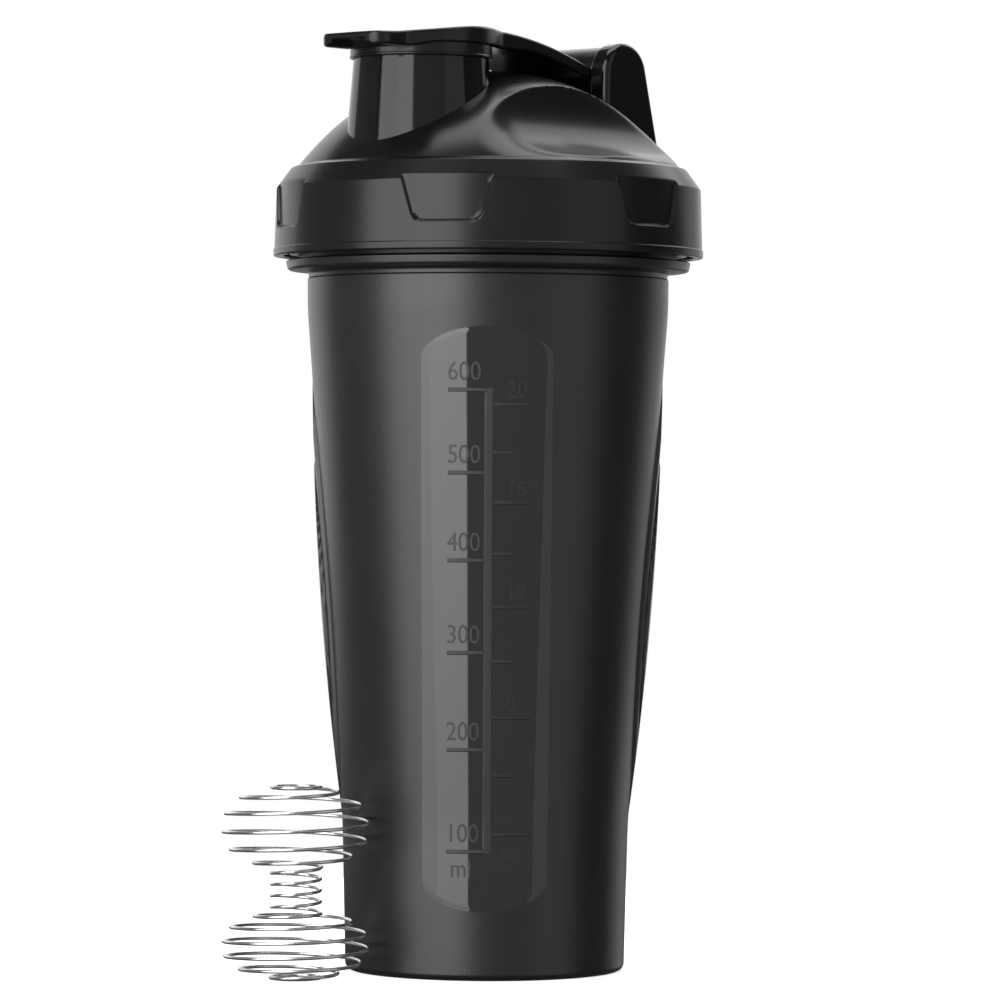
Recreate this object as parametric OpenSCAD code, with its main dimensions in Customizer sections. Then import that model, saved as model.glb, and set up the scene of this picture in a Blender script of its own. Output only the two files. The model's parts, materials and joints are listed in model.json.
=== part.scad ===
// Protein shaker bottle: a tapered cup with a graduated window, a screw-on lid
// with a spout and a flip cap, two silicone seals, and a wire mixer that stands
// beside the cup. Millimetres, +Z up. The origin is the middle of the cup's
// base, and the window faces -Y.

/* [Cup] */
// Height of the cup's rim above the table
cup_h = 194.5; // [194:0.1:195]
// Radius of the foot, inside its rounded corner
foot_r = 32.8; // [31:0.1:33]
// Radius of the rounded corner at the foot
foot_round = 1.7; // [1:0.1:2.2]
// Height where the steeper taper starts
waist_z = 37; // [30:1:45]
// Outside radius at that height
waist_r = 35.3; // [35:0.1:36]
// Outside radius at the top of the taper
shoulder_r = 44.6; // [44:0.1:44.8]
// Thickness of the cup's wall
cup_wall = 1.8; // [1.4:0.1:2]
// Thickness of the cup's floor
floor_t = 2.5; // [2:0.1:4]

/* [Flange and neck] */
// Outside radius of the flange under the lid
flange_r = 50.1; // [49:0.1:51]
// Height of the corner under the flange
flange_z = 170.7; // [169:0.1:171]
// Outside radius of the threaded neck
neck_r = 46.2; // [46:0.05:46.3]
// Inside radius of the mouth
mouth_r = 44; // [43.9:0.05:44.2]

/* [Grips and graduations] */
// Height of the lower tip of the side grips
grip_z0 = 38; // [37:1:45]
// Height of their upper tip
grip_z1 = 146; // [130:1:150]
// Half width of a grip at its middle
grip_w = 8.8; // [6:0.2:11]
// How far a grip stands proud of the wall
grip_proud = 1.75; // [1:0.05:2]
// How far the graduations stand proud of the wall
mark_proud = 0.25; // [0.2:0.05:0.5]

/* [Thread] */
// Rise of the thread in one turn
pitch = 5; // [4.5:0.1:5]
// Turns of thread on the neck
neck_turns = 1.25; // [1:0.05:1.25]
// Turns of thread in the lid
lid_turns = 1; // [0.8:0.05:1]
// Height where the neck's thread starts
thread_z = 181; // [180:0.1:182]
// Radius of the neck thread's crest
thread_crest_r = 47.4; // [47.2:0.05:47.45]

/* [Lid] */
// Direction of the spout, in degrees from +X
lid_heading = 229; // [0:1:359]
// Outside radius of the collar at its lower edge
collar_r = 53.2; // [53:0.1:54]
// Height of the collar's lower edge
collar_z = 176; // [175.6:0.1:176.5]
// Radius of the domed top
dome_r = 58.6; // [58:0.1:59]
// Thickness of the dome
dome_t = 2; // [1.6:0.1:2.4]
// Radius of the scoop on each side of the dome
scoop_r = 20; // [18:0.5:20]
// Number of notches round the collar
notch_count = 6; // [4:1:8]
// Depth of a notch
notch_depth = 1; // [0.5:0.1:1]

/* [Spout] */
// Distance of the spout's axis from the bottle's
spout_x = 25.3; // [24:0.1:26]
// Outside radius at the spout's lip
spout_r = 16.2; // [15.8:0.1:16.2]
// Inside radius at the lip
spout_bore_r = 14; // [13.8:0.1:14.2]
// Height of the lip
spout_z = 226.9; // [226.5:0.1:226.9]

/* [Hinge] */
// Distance of the hinge's axis behind the bottle's axis
hinge_x = 31.4; // [31:0.1:31.6]
// Height of the hinge's axis
hinge_z = 222.2; // [222:0.1:222.4]
// Outside face of an ear, from the middle of the lid
ear_y = 18.5; // [18:0.1:19]
// Thickness of an ear
ear_t = 5.4; // [4.5:0.1:5.4]
// Radius of the ear's round top
ear_r = 8.15; // [7.8:0.05:8.5]
// Radius of the cap's trunnions
trunnion_r = 3; // [2.5:0.1:3.5]
// Clearance round a trunnion
running_gap = 0.05; // [0.02:0.01:0.1]

/* [Flip cap] */
// Highest point of the cap
cap_top_z = 231; // [230.8:0.1:231.5]
// Radius of the disc over the spout
cap_disc_r = 18.2; // [18:0.1:19]
// Reach of the thumb tab from the bottle's axis
tab_x = 51.6; // [46:0.1:53]
// Half width of the thumb tab
tab_w = 10.4; // [8:0.1:12]
// Radius of the thumb tab's corners
tab_corner_r = 4; // [1:0.1:6]
// Half width of the arm between the ears
arm_w = 12.8; // [12:0.1:12.8]
// Radius of the knuckle on the hinge's axis
knuckle_r = 7.4; // [6.5:0.1:7.4]

/* [Wire mixer] */
// Diameter of the wire
wire_d = 0.9; // [0.8:0.05:1]
// Radius of the wire's path at the widest turn
ball_r = 17.7; // [14:0.1:17.7]
// Radius of the wire's path at the neck and the end rings
coil_r = 5.9; // [5:0.1:7]
// Height of the lower ball
lower_ball_h = 15.6; // [14:0.1:18]
// Height of the neck between the balls
coil_h = 11; // [8:0.1:14]
// Height of the upper ball
upper_ball_h = 19.4; // [16:0.1:22]
// Turns in each ball, to a half turn
ball_turns = 5.5; // [4.5:1:6.5]
// Turns in the neck
coil_turns = 4; // [3:1:5]
// Where the mixer stands
mixer_at = [-45.6, -29.9];

/* [Hidden] */
$fn = 96;
eps = 0.01;

black = [0.06, 0.06, 0.065];
frosted_black = [0.11, 0.11, 0.115];
silicone_black = [0.16, 0.16, 0.165];
silicone_grey = [0.45, 0.45, 0.46];
steel = [0.78, 0.78, 0.79];

// The cup's taper ends a little below the flange.
taper_z = 163;
taper = (shoulder_r - waist_r) / (taper_z - waist_z);
foot_recess = 0.8;
foot_ring = 7;
floor_round = 3;

// The flange: a round edge over a cove that runs into the body.
flange_round = 1.2;
flange_mid_z = flange_z + 3;
flange_top_z = flange_mid_z + flange_round;
cove_step = 0.45;

// Graduations: the first mark, then a spacing that shrinks as the cup widens.
first_mark_z = 31.4;
mark_step = 25.2;
mark_shrink = 0.59;
ounce = 29.2;
mark_t = 1;
bar_x = 0.5;
bar_w = 2.1;

// Thread ridges: widths at the root and the crest, and how the ends fade.
ridge_root_w = 2;
ridge_crest_w = 1.1;
ridge_fade = 20;
ridge_step = 6;
ridge_root_in = 0.4;
lid_thread_r = 47.75;
lid_thread_crest_r = neck_r + 0.25;

// The collar is an outer skin and a threaded wall with a groove between them.
band_h = 2.8;
band_step = 0.25;
collar_top_r = 52.45;
chamfer_z = 192.8;
ledge_r = 48.9;
ledge_z = 197.7;
skin_r = 50.9;
thread_wall_r = 49.4;
groove_top_z = 191.5;
plug_r = 43.7;
plug_bore_r = 42.2;
plug_z = 190.5;
channel_z = 196.4;
gasket_gap = 0.05;

dome_mid_z = 163.5;
dome_base_z = 196.6;
dome_foot_r = 46.7;
dome_foot_z = 198.6;
scoop_y = 42.9;
scoop_z = 219.3;
notch_z = 182.5;
notch_low_w = 8.3;
notch_high_w = 11.8;

spout_base_z = 197;
spout_draft = 0.083;
ear_slope = 14.8;
ear_foot_z = 197.8;
trunnion_l = 3.2;
socket_depth = 3.4;

// The cap's top is two shallow curves that meet at its highest point.
crown_x = 16;
front_curve = 500;
rear_curve = 230;
cap_t = 3.2;
cap_under_z = 227.1;
skirt_z = 224;
skirt_r = 17.4;
skirt_bore_r = 16.68;
boss_r = 11.5;
boss_z = 224.6;
seal_r = 13.8;
seal_low_r = 13.4;
seal_z = 223.4;
thumb_scoop_r = 26;
profile_step = 4;

wire_step = 15;
wire_sides = 8;
ring_turns = 0.92;

// Points on an arc about c, from angle a0 to a1.
function arc(c, r, a0, a1, n = 4) =
    [for (i = [0:n]) let (a = a0 + (a1 - a0) * i / n) c + r * [cos(a), sin(a)]];

// Outside radius of the tapered wall at a height.
function wall_r(z) = waist_r + taper * (z - waist_z);

// Height of the graduation for a volume in millilitres.
function mark_z(ml) =
    let (m = ml / 100 - 1) first_mark_z + mark_step * m - mark_shrink * m * m;

// Height of the flip cap's top at a distance along its length.
function cap_top(x) =
    cap_top_z - pow(x - crown_x, 2) / (x > crown_x ? front_curve : rear_curve);

// Faces of a swept tube: count rings of sides points each, with flat ends.
function tube_faces(count, sides) = concat(
    [[for (j = [sides - 1:-1:0]) j]],
    [for (i = [0:count - 2]) for (j = [0:sides - 1]) let (k = (j + 1) % sides)
        [i * sides + j, i * sides + k, (i + 1) * sides + k, (i + 1) * sides + j]],
    [[for (j = [0:sides - 1]) (count - 1) * sides + j]]);

module cup() {
    color(frosted_black) {
        cup_shell();
        for (side = [0, 180]) rotate([0, 0, side]) grip();
        graduations();
        ridge(neck_r - ridge_root_in, thread_crest_r, thread_z, neck_turns);
    }
}

module cup_shell() {
    rotate_extrude()
        polygon(concat(
            [[0, foot_recess], [foot_r - foot_ring, foot_recess],
             [foot_r - foot_ring + foot_recess, 0]],
            arc([foot_r, foot_round], foot_round, -90, 0),
            [[waist_r, waist_z], [wall_r(taper_z), taper_z],
             [shoulder_r, flange_z - 0.3], [shoulder_r - cove_step, flange_z]],
            cove_points(),
            arc([flange_r - flange_round, flange_mid_z], flange_round, -60, 90),
            [[neck_r, flange_top_z], [neck_r, cup_h - 0.6], [neck_r - 0.6, cup_h],
             [mouth_r + 0.4, cup_h], [mouth_r, cup_h - 0.4],
             [mouth_r, flange_mid_z], [wall_r(taper_z) - cup_wall, flange_z],
             [wall_r(taper_z) - cup_wall, taper_z],
             [waist_r - cup_wall, waist_z]],
            arc([foot_r + foot_round - cup_wall - floor_round, floor_t + floor_round],
                floor_round, 0, -90),
            [[0, floor_t]]));
}

// The concave underside of the flange, a quarter of an ellipse.
function cove_points() =
    let (low_r = shoulder_r - cove_step,
         reach = flange_r - flange_round - low_r,
         rise = flange_mid_z - flange_round - flange_z)
    [for (a = [20:20:80]) [low_r + reach * (1 - cos(a)), flange_z + rise * sin(a)]];

// A lens-shaped pad on the +X side: a bulged wall cut by two big cylinders.
module grip() {
    half_l = (grip_z1 - grip_z0) / 2;
    lens_r = (half_l * half_l + grip_w * grip_w) / (2 * grip_w);
    intersection() {
        rotate_extrude()
            polygon(concat(
                [for (i = [0:8]) let (t = i / 8, z = grip_z0 + 2 * half_l * t)
                    [wall_r(z) + 4 * grip_proud * t * (1 - t), z]],
                [[wall_r(grip_z1) - 1, grip_z1], [wall_r(grip_z0) - 1, grip_z0]]));
        for (side = [-1, 1])
            translate([30, side * (lens_r - grip_w), grip_z0 + half_l])
                rotate([0, 90, 0]) cylinder(h = 30, r = lens_r);
    }
}

// Raised bar and marks on the window: millilitres to its left, ounces right.
module graduations() {
    intersection() {
        rotate_extrude()
            polygon([[waist_r - 1, 10], [waist_r + mark_proud, 10],
                     [waist_r + mark_proud, waist_z],
                     [wall_r(taper_z) + mark_proud, taper_z],
                     [wall_r(taper_z) - 1, taper_z], [waist_r - 1, waist_z]]);
        union() {
            mark(bar_x - bar_w / 2, bar_w, mark_z(100), mark_z(600) - mark_z(100));
            for (ml = [100:100:600]) mark(-9.4, 9.4, mark_z(ml), mark_t);
            for (oz = [4:4:20]) mark(bar_x, 10.5, mark_z(oz * ounce), mark_t);
            for (oz = [6:4:18]) mark(bar_x, 6, mark_z(oz * ounce), mark_t);
        }
    }
}

module mark(x, w, z, h) {
    translate([x, -60, z - mark_t / 2]) cube([w, 60, h]);
}

// A helical ridge that fades in and out, from root radius to crest radius.
module ridge(root_r, crest_r, z0, turns) {
    steps = round(turns * 360 / ridge_step);
    points = [for (i = [0:steps])
        let (a = i * ridge_step,
             z = z0 + pitch * a / 360,
             grow = min(1, a / ridge_fade, (steps * ridge_step - a) / ridge_fade),
             r = root_r + (crest_r - root_r) * max(grow, 0.1))
        for (p = [[root_r, -ridge_root_w / 2], [r, -ridge_crest_w / 2],
                  [r, ridge_crest_w / 2], [root_r, ridge_root_w / 2]])
            [p[0] * cos(a), p[0] * sin(a), z + p[1]]];
    faces = tube_faces(steps + 1, 4);
    polyhedron(points, crest_r > root_r ? faces : [for (f = faces) [for (k = [len(f) - 1:-1:0]) f[k]]]);
}

module lid_gasket() {
    color(silicone_grey)
        rotate_extrude()
            translate([plug_r + gasket_gap, cup_h + gasket_gap])
                square([neck_r - plug_r - 0.2, channel_z - cup_h - 2 * gasket_gap]);
}

module lid() {
    color(black) {
        rotate([0, 0, lid_heading]) difference() {
            union() {
                collar();
                dome(dome_r, dome_base_z, scoop_r);
                spout_tube(spout_r, spout_base_z);
                for (y = [-ear_y, ear_y - ear_t]) ear(y);
            }
            intersection() {
                dome(dome_r - dome_t, plug_z - 1, scoop_r + dome_t);
                translate([0, 0, plug_z - 1]) cylinder(h = 60, r = plug_bore_r);
            }
            spout_tube(spout_bore_r, ledge_z, eps);
            for (i = [0:notch_count - 1])
                rotate([0, 0, (i + 0.5) * 360 / notch_count]) notch();
            for (y = [-ear_y + ear_t - socket_depth, ear_y - ear_t - eps])
                socket(y);
        }
        // Half a pitch under the neck's ridge, whichever way the spout points.
        ridge(lid_thread_r + ridge_root_in, lid_thread_crest_r,
              thread_z - pitch / 2, lid_turns);
    }
}

module collar() {
    rotate_extrude()
        polygon([[collar_r - 0.4, collar_z], [collar_r, collar_z + 0.4],
                 [collar_r, collar_z + band_h],
                 [collar_r - band_step, collar_z + band_h + band_step],
                 [collar_top_r, chamfer_z], [ledge_r, ledge_z],
                 [dome_foot_r, dome_foot_z], [plug_bore_r - 1, dome_foot_z],
                 [plug_bore_r - 1, channel_z - 2], [plug_bore_r, plug_z],
                 [plug_r - 0.4, plug_z], [plug_r, plug_z + 0.7],
                 [plug_r, channel_z], [lid_thread_r, channel_z],
                 [lid_thread_r, collar_z + 1.2], [lid_thread_r + 0.6, collar_z + 0.6],
                 [thread_wall_r, collar_z + 0.6], [thread_wall_r, groove_top_z],
                 [skin_r, groove_top_z], [skin_r, collar_z]]);
}

// A ball of radius r above a flat, with a straight scoop along each side.
module dome(r, base_z, cut_r) {
    difference() {
        intersection() {
            translate([0, 0, dome_mid_z]) sphere(r);
            translate([0, 0, base_z]) cylinder(h = r, r = r + 1);
        }
        for (side = [-1, 1])
            translate([-80, side * scoop_y, scoop_z])
                rotate([0, 90, 0]) cylinder(h = 160, r = cut_r);
    }
}

// The spout's cone, from a base height up to its lip and a little over.
module spout_tube(lip_r, base_z, over = 0) {
    drop = spout_z - base_z;
    translate([spout_x, 0, base_z])
        cylinder(h = drop + over, r1 = lip_r + spout_draft * drop,
                 r2 = lip_r - spout_draft * over);
}

// A hinge ear standing on the dome: a round top and a sloping back.
module ear(y) {
    back = arc([-hinge_x, hinge_z], ear_r, 0, 180 - ear_slope, 12);
    last = back[len(back) - 1];
    foot_x = last[0] - (last[1] - ear_foot_z) * tan(ear_slope);
    translate([0, y + ear_t, 0]) rotate([90, 0, 0])
        linear_extrude(ear_t)
            polygon(concat(back, [[foot_x, ear_foot_z], [ear_r - hinge_x, ear_foot_z]]));
}

// The blind hole in an ear that a trunnion turns in.
module socket(y) {
    translate([-hinge_x, y, hinge_z]) rotate([-90, 0, 0])
        cylinder(h = socket_depth + eps, r = trunnion_r + running_gap);
}

module notch() {
    difference() {
        rotate([90, 0, 90]) linear_extrude(collar_r + 5)
            polygon([[-notch_low_w, notch_z], [notch_low_w, notch_z],
                     [notch_high_w, chamfer_z + 2], [-notch_high_w, chamfer_z + 2]]);
        translate([0, 0, notch_z - 1])
            cylinder(h = 20, r = collar_top_r + 0.15 - notch_depth);
    }
}

module flip_cap() {
    color(black) rotate([0, 0, lid_heading]) {
        difference() {
            intersection() {
                cap_plan();
                cap_side();
            }
            translate([tab_x + 6, 0, cap_under_z - thumb_scoop_r])
                rotate([0, -10, 0]) cylinder(h = thumb_scoop_r, r = 8.5);
        }
        knuckle();
        cap_ring(skirt_r, skirt_bore_r, skirt_z);
        translate([spout_x, 0, boss_z])
            cylinder(h = cap_under_z - boss_z + eps, r = boss_r);
    }
}

// The cap seen from above: a disc, a thumb tab and an arm back to the hinge.
module cap_plan() {
    translate([0, 0, skirt_z - 10]) linear_extrude(30) {
        translate([spout_x, 0]) circle(cap_disc_r);
        translate([spout_x, -tab_w]) square([tab_x - tab_corner_r - spout_x, 2 * tab_w]);
        translate([spout_x, tab_corner_r - tab_w])
            square([tab_x - spout_x, 2 * (tab_w - tab_corner_r)]);
        for (side = [-1, 1])
            translate([tab_x - tab_corner_r, side * (tab_w - tab_corner_r)])
                circle(tab_corner_r);
        translate([-hinge_x, -arm_w]) square([hinge_x + spout_x, 2 * arm_w]);
    }
}

// The cap seen from the side: a curved top over a flat, then a thinner arm.
module cap_side() {
    back_x = -hinge_x + knuckle_r - 1;
    turn_x = spout_x - cap_disc_r;
    top = [for (x = [tab_x:-profile_step:back_x]) [x, cap_top(x)]];
    under = [for (x = [turn_x:-profile_step:back_x + 6]) [x, min(cap_under_z, cap_top(x) - cap_t)]];
    translate([0, 30, 0]) rotate([90, 0, 0])
        linear_extrude(60)
            polygon(concat(top, [[back_x, cap_top(back_x)], [back_x, hinge_z - 3]],
                           [for (i = [len(under) - 1:-1:0]) under[i]],
                           [[tab_x - 7, cap_under_z], [tab_x, cap_under_z - 1.7]]));
}

// The solid barrel between the ears, with a trunnion at each end.
module knuckle() {
    translate([-hinge_x, 0, hinge_z]) rotate([90, 0, 0]) {
        cylinder(h = 2 * arm_w, r = knuckle_r, center = true);
        cylinder(h = 2 * (arm_w + trunnion_l), r = trunnion_r, center = true);
    }
}

module cap_ring(outer_r, bore_r, low_z) {
    translate([spout_x, 0, low_z]) difference() {
        cylinder(h = cap_under_z - low_z + eps, r = outer_r);
        translate([0, 0, -1]) cylinder(h = cap_under_z - low_z + 1, r = bore_r);
    }
}

// The soft plug that closes the spout, pushed over the cap's boss.
module spout_seal() {
    color(silicone_black)
        rotate([0, 0, lid_heading]) translate([spout_x, 0, seal_z]) difference() {
            cylinder(h = cap_under_z - seal_z, r1 = seal_low_r, r2 = seal_r);
            translate([0, 0, boss_z - seal_z])
                cylinder(h = cap_under_z - boss_z + 1, r = boss_r);
        }
}

// Share of a ball's bulge at t, from 0 at one end to 1 at the other.
function bulge(t) = (sin(180 * t) + sin(90 * sin(180 * t))) / 2;

// Share of a ball's height at t: the turns lie closer near its ends.
function rise(t) = (t + (1 - cos(180 * t)) / 2) / 2;

// Radius and height of the wire's path after u turns from the lower ring.
function wire_at(u) =
    let (z0 = wire_d / 2,
         z1 = z0 + lower_ball_h,
         z2 = z1 + coil_h,
         low = u / ball_turns,
         mid = (u - ball_turns) / coil_turns,
         high = (u - ball_turns - coil_turns) / ball_turns)
    u <= 0 ? [coil_r, z0]
    : low < 1 ? [coil_r + (ball_r - coil_r) * bulge(low), z0 + lower_ball_h * rise(low)]
    : mid < 1 ? [coil_r, z1 + coil_h * mid]
    : high < 1 ? [coil_r + (ball_r - coil_r) * bulge(high), z2 + upper_ball_h * rise(high)]
    : [coil_r, z2 + upper_ball_h];

// A point on the wire's path; the helix rises as it turns from +X to +Y.
function wire_point(u) =
    let (p = wire_at(u), a = 180 + 360 * u) [p[0] * cos(a), p[0] * sin(a), p[1]];

function unit(v) = v / norm(v);

module wire_mixer() {
    step = wire_step / 360;
    last = 2 * ball_turns + coil_turns + ring_turns;
    path_u = [for (u = [-ring_turns:step:last]) u];
    points = [for (u = path_u)
        let (p = wire_point(u),
             along = unit(wire_point(u + step / 2) - wire_point(u - step / 2)),
             side = unit(cross([0, 0, 1], along)),
             up = cross(along, side))
        for (j = [0:wire_sides - 1])
            let (a = 360 * j / wire_sides)
            p + wire_d / 2 * (cos(a) * side + sin(a) * up)];
    color(steel) translate([mixer_at[0], mixer_at[1], 0])
        polyhedron(points, tube_faces(len(path_u), wire_sides));
}

cup();
lid_gasket();
lid();
flip_cap();
spout_seal();
wire_mixer();
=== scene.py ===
"""Looks of a protein shaker bottle: a frosted cup with a glossy graduated window, a screw lid
with a spout and a flip cap, two soft seals and a wire mixer. Outlines are in millimetres."""

import json
import math

import bpy
import numpy as np
from bpy.props import FloatProperty, FloatVectorProperty, IntProperty, PointerProperty
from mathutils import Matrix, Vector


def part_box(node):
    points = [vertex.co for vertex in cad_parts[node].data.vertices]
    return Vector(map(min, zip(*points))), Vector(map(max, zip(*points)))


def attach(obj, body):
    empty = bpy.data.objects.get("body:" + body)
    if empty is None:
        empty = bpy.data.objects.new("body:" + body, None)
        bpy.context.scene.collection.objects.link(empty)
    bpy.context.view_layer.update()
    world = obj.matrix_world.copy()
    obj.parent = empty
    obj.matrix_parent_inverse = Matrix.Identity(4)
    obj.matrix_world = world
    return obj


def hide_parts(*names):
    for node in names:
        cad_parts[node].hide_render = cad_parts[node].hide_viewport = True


bl_info = {
    "name": "Shaker Bottle",
    "version": (1, 0, 0),
    "blender": (4, 5, 0),
    "location": "View3D > Sidebar > Shaker",
    "description": "Builds a shaker bottle's visible pieces round its packed frame",
    "category": "Add Mesh",
}

MM = 0.001
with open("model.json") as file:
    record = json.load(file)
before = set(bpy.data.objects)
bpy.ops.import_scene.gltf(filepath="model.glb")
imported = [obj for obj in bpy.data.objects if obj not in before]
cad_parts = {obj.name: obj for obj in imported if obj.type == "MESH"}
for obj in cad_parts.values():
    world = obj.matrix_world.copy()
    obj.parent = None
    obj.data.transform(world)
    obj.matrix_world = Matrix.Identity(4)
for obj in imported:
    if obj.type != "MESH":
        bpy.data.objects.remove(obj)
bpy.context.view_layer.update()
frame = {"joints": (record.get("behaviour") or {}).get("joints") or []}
RIM_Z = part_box("cup")[1].z / MM
COLLAR_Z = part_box("lid")[0].z / MM
CAP_TOP_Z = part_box("flip_cap")[1].z / MM
MIXER_LOW, MIXER_HIGH = (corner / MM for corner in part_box("wire_mixer"))
CAP_JOINT = next(joint for joint in frame["joints"] if joint["name"] == "cap_open")
HINGE_AT = [value / MM for value in CAP_JOINT["pos_m"]]
HINGE_X = math.hypot(HINGE_AT[0], HINGE_AT[1])
HINGE_Z = HINGE_AT[2]
HEADING = math.atan2(-HINGE_AT[1], -HINGE_AT[0])
DOME_MID_Z = 163.5
SCOOP_Y = 42.9
SCOOP_Z = 219.3
SPOUT_X = 25.3
SPOUT_Z = 226.9
SPOUT_DRAFT = 0.083
CUP_WALL = 1.8
FLANGE_R = 50.1
FLANGE_Z = 170.7
WAIST = (35.3, 37.0)
SHOULDER = (44.6, 163.0)
FRONT = math.radians(-90)


# ---------------------------------------------------------------- settings


class CupSettings(bpy.types.PropertyGroup):
    """Sizes of the cup and what is moulded on it, in millimetres."""

    wall: FloatProperty(name="Wall", description="Thickness of the cup's wall", default=CUP_WALL)
    flange_r: FloatProperty(name="Flange", description="Radius of the flange", default=FLANGE_R)
    window_low: FloatProperty(name="Window foot", description="Lower edge of the window", default=16.8)
    window_high: FloatProperty(name="Window head", description="Upper edge of the window", default=157.9)
    window_angle: FloatProperty(
        name="Window half angle", description="Half the angle that the window spans", default=23.4
    )
    digit_h: FloatProperty(name="Digits", description="Height of the scale's digits", default=6.4)
    grip_low: FloatProperty(name="Grip foot", description="Lower tip of a side grip", default=38)
    grip_high: FloatProperty(name="Grip head", description="Upper tip of a side grip", default=146)
    grip_w: FloatProperty(name="Grip", description="Half width of a side grip", default=8.8)
    grip_proud: FloatProperty(name="Grip height", description="How far a grip stands out", default=1.7)


class LidSettings(bpy.types.PropertyGroup):
    """Sizes of the lid, in millimetres."""

    collar_r: FloatProperty(name="Collar", description="Radius at the lower edge", default=53.15)
    notches: IntProperty(name="Notches", description="Notches round the collar", default=6)
    notch_depth: FloatProperty(name="Notch depth", description="Depth of a notch", default=0.72)
    ribs: IntProperty(name="Ribs", description="Ribs in the groove under the collar", default=48)
    dome_r: FloatProperty(name="Dome", description="Radius of the dome", default=58.6)
    scoop_r: FloatProperty(name="Scoop", description="Radius of the side scoops", default=20)
    spout_r: FloatProperty(name="Spout", description="Outside radius at the lip", default=16.2)
    spout_bore: FloatProperty(name="Spout bore", description="Inside radius at the lip", default=14)
    ear_r: FloatProperty(name="Ear", description="Radius of an ear's round top", default=8.1)


class CapSettings(bpy.types.PropertyGroup):
    """Sizes of the flip cap, in millimetres."""

    disc_r: FloatProperty(name="Disc", description="Radius of the disc", default=18.1)
    tab_x: FloatProperty(name="Tab", description="Reach of the thumb tab", default=51.55)
    tab_w: FloatProperty(name="Tab half width", description="Half width of the tab", default=10.4)
    arm_w: FloatProperty(name="Arm half width", description="Half width of the arm", default=12.8)


class MixerSettings(bpy.types.PropertyGroup):
    """Sizes of the wire mixer, in millimetres."""

    wire: FloatProperty(name="Wire", description="Diameter of the wire", default=0.9)
    ball_r: FloatProperty(name="Ball", description="Radius of the wire's widest turn", default=17.7)
    coil_r: FloatProperty(name="Coil", description="Radius of the neck's turns", default=5.9)
    ball_turns: FloatProperty(name="Ball turns", description="Turns in each ball", default=5.5)
    coil_turns: FloatProperty(name="Neck turns", description="Turns in the neck", default=4)


class FinishSettings(bpy.types.PropertyGroup):
    """Colours of the plastics, the silicone and the wire."""

    cup: FloatVectorProperty(
        name="Cup", description="Frosted plastic", subtype="COLOR", default=(0.0095, 0.0095, 0.0099)
    )
    lid: FloatVectorProperty(
        name="Lid", description="Satin plastic", subtype="COLOR", default=(0.006, 0.006, 0.0064)
    )
    seal: FloatVectorProperty(
        name="Seals", description="Silicone", subtype="COLOR", default=(0.05, 0.05, 0.052)
    )
    wire: FloatVectorProperty(
        name="Wire", description="Stainless steel", subtype="COLOR", default=(0.88, 0.87, 0.85)
    )


class StageSettings(bpy.types.PropertyGroup):
    """Camera and floor."""

    lens: FloatProperty(name="Lens", description="Focal length in millimetres", default=190.8)
    distance: FloatProperty(
        name="Distance", description="Camera's distance", default=1.312, unit="LENGTH"
    )
    eye: FloatProperty(name="Eye", description="Camera's height", default=0.121, unit="LENGTH")
    backdrop: FloatProperty(name="Backdrop", description="Brightness behind the object", default=1.0)


# ---------------------------------------------------------------- outlines and meshes


def smooth(value):
    """A soft step from 0 to 1."""
    t = np.clip(value, 0, 1)
    return t * t * (3 - 2 * t)


def soft_min(a, b, width):
    """The lesser of two heights, blended over a width."""
    h = np.clip(0.5 + 0.5 * (b - a) / width, 0, 1)
    return b + (a - b) * h - width * h * (1 - h)


def rounded(corners, steps=5):
    """An outline whose (x, y, radius) corners are rounded by arcs; its ends stay."""
    path = [np.array(corners[0][:2], float)]
    for before, corner, after in zip(corners, corners[1:], corners[2:]):
        at = np.array(corner[:2], float)
        back, ahead = np.array(before[:2]) - at, np.array(after[:2]) - at
        room = min(np.linalg.norm(back), np.linalg.norm(ahead)) * 0.49
        back, ahead = back / np.linalg.norm(back), ahead / np.linalg.norm(ahead)
        half = math.acos(max(-1.0, min(1.0, float(back @ ahead)))) / 2
        if corner[2] == 0 or half > 1.56:
            path.append(at)
            continue
        reach = min(corner[2] / math.tan(half), room)
        radius = reach * math.tan(half)
        middle = at + (back + ahead) / np.linalg.norm(back + ahead) * radius / math.sin(half)
        first, last = at + back * reach - middle, at + ahead * reach - middle
        start = math.atan2(first[1], first[0])
        turn = (math.atan2(last[1], last[0]) - start + math.pi) % (2 * math.pi) - math.pi
        for k in range(steps + 1):
            angle = start + turn * k / steps
            path.append(middle + radius * np.array([math.cos(angle), math.sin(angle)]))
    path.append(np.array(corners[-1][:2], float))
    return np.array(path)


def filled(path, step, low=-1e9, high=1e9):
    """The path with points added so that no stretch between two heights is longer than step."""
    points = [path[0]]
    for a, b in zip(path, path[1:]):
        inside = low <= (a[1] + b[1]) / 2 <= high
        count = max(1, math.ceil(np.linalg.norm(b - a) / step)) if inside else 1
        points += [a + (b - a) * k / count for k in range(1, count + 1)]
    return np.array(points)


def grid_faces(rows, columns, close_rows=False, close_columns=True):
    """Quads of a grid of points, rows by columns."""
    row = np.arange(rows if close_rows else rows - 1)
    column = np.arange(columns if close_columns else columns - 1)
    r0, c0 = np.meshgrid(row, column, indexing="ij")
    r1, c1 = (r0 + 1) % rows, (c0 + 1) % columns
    quads = [r0 * columns + c0, r0 * columns + c1, r1 * columns + c1, r1 * columns + c0]
    return np.stack(quads, -1).reshape(-1, 4).tolist()


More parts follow.
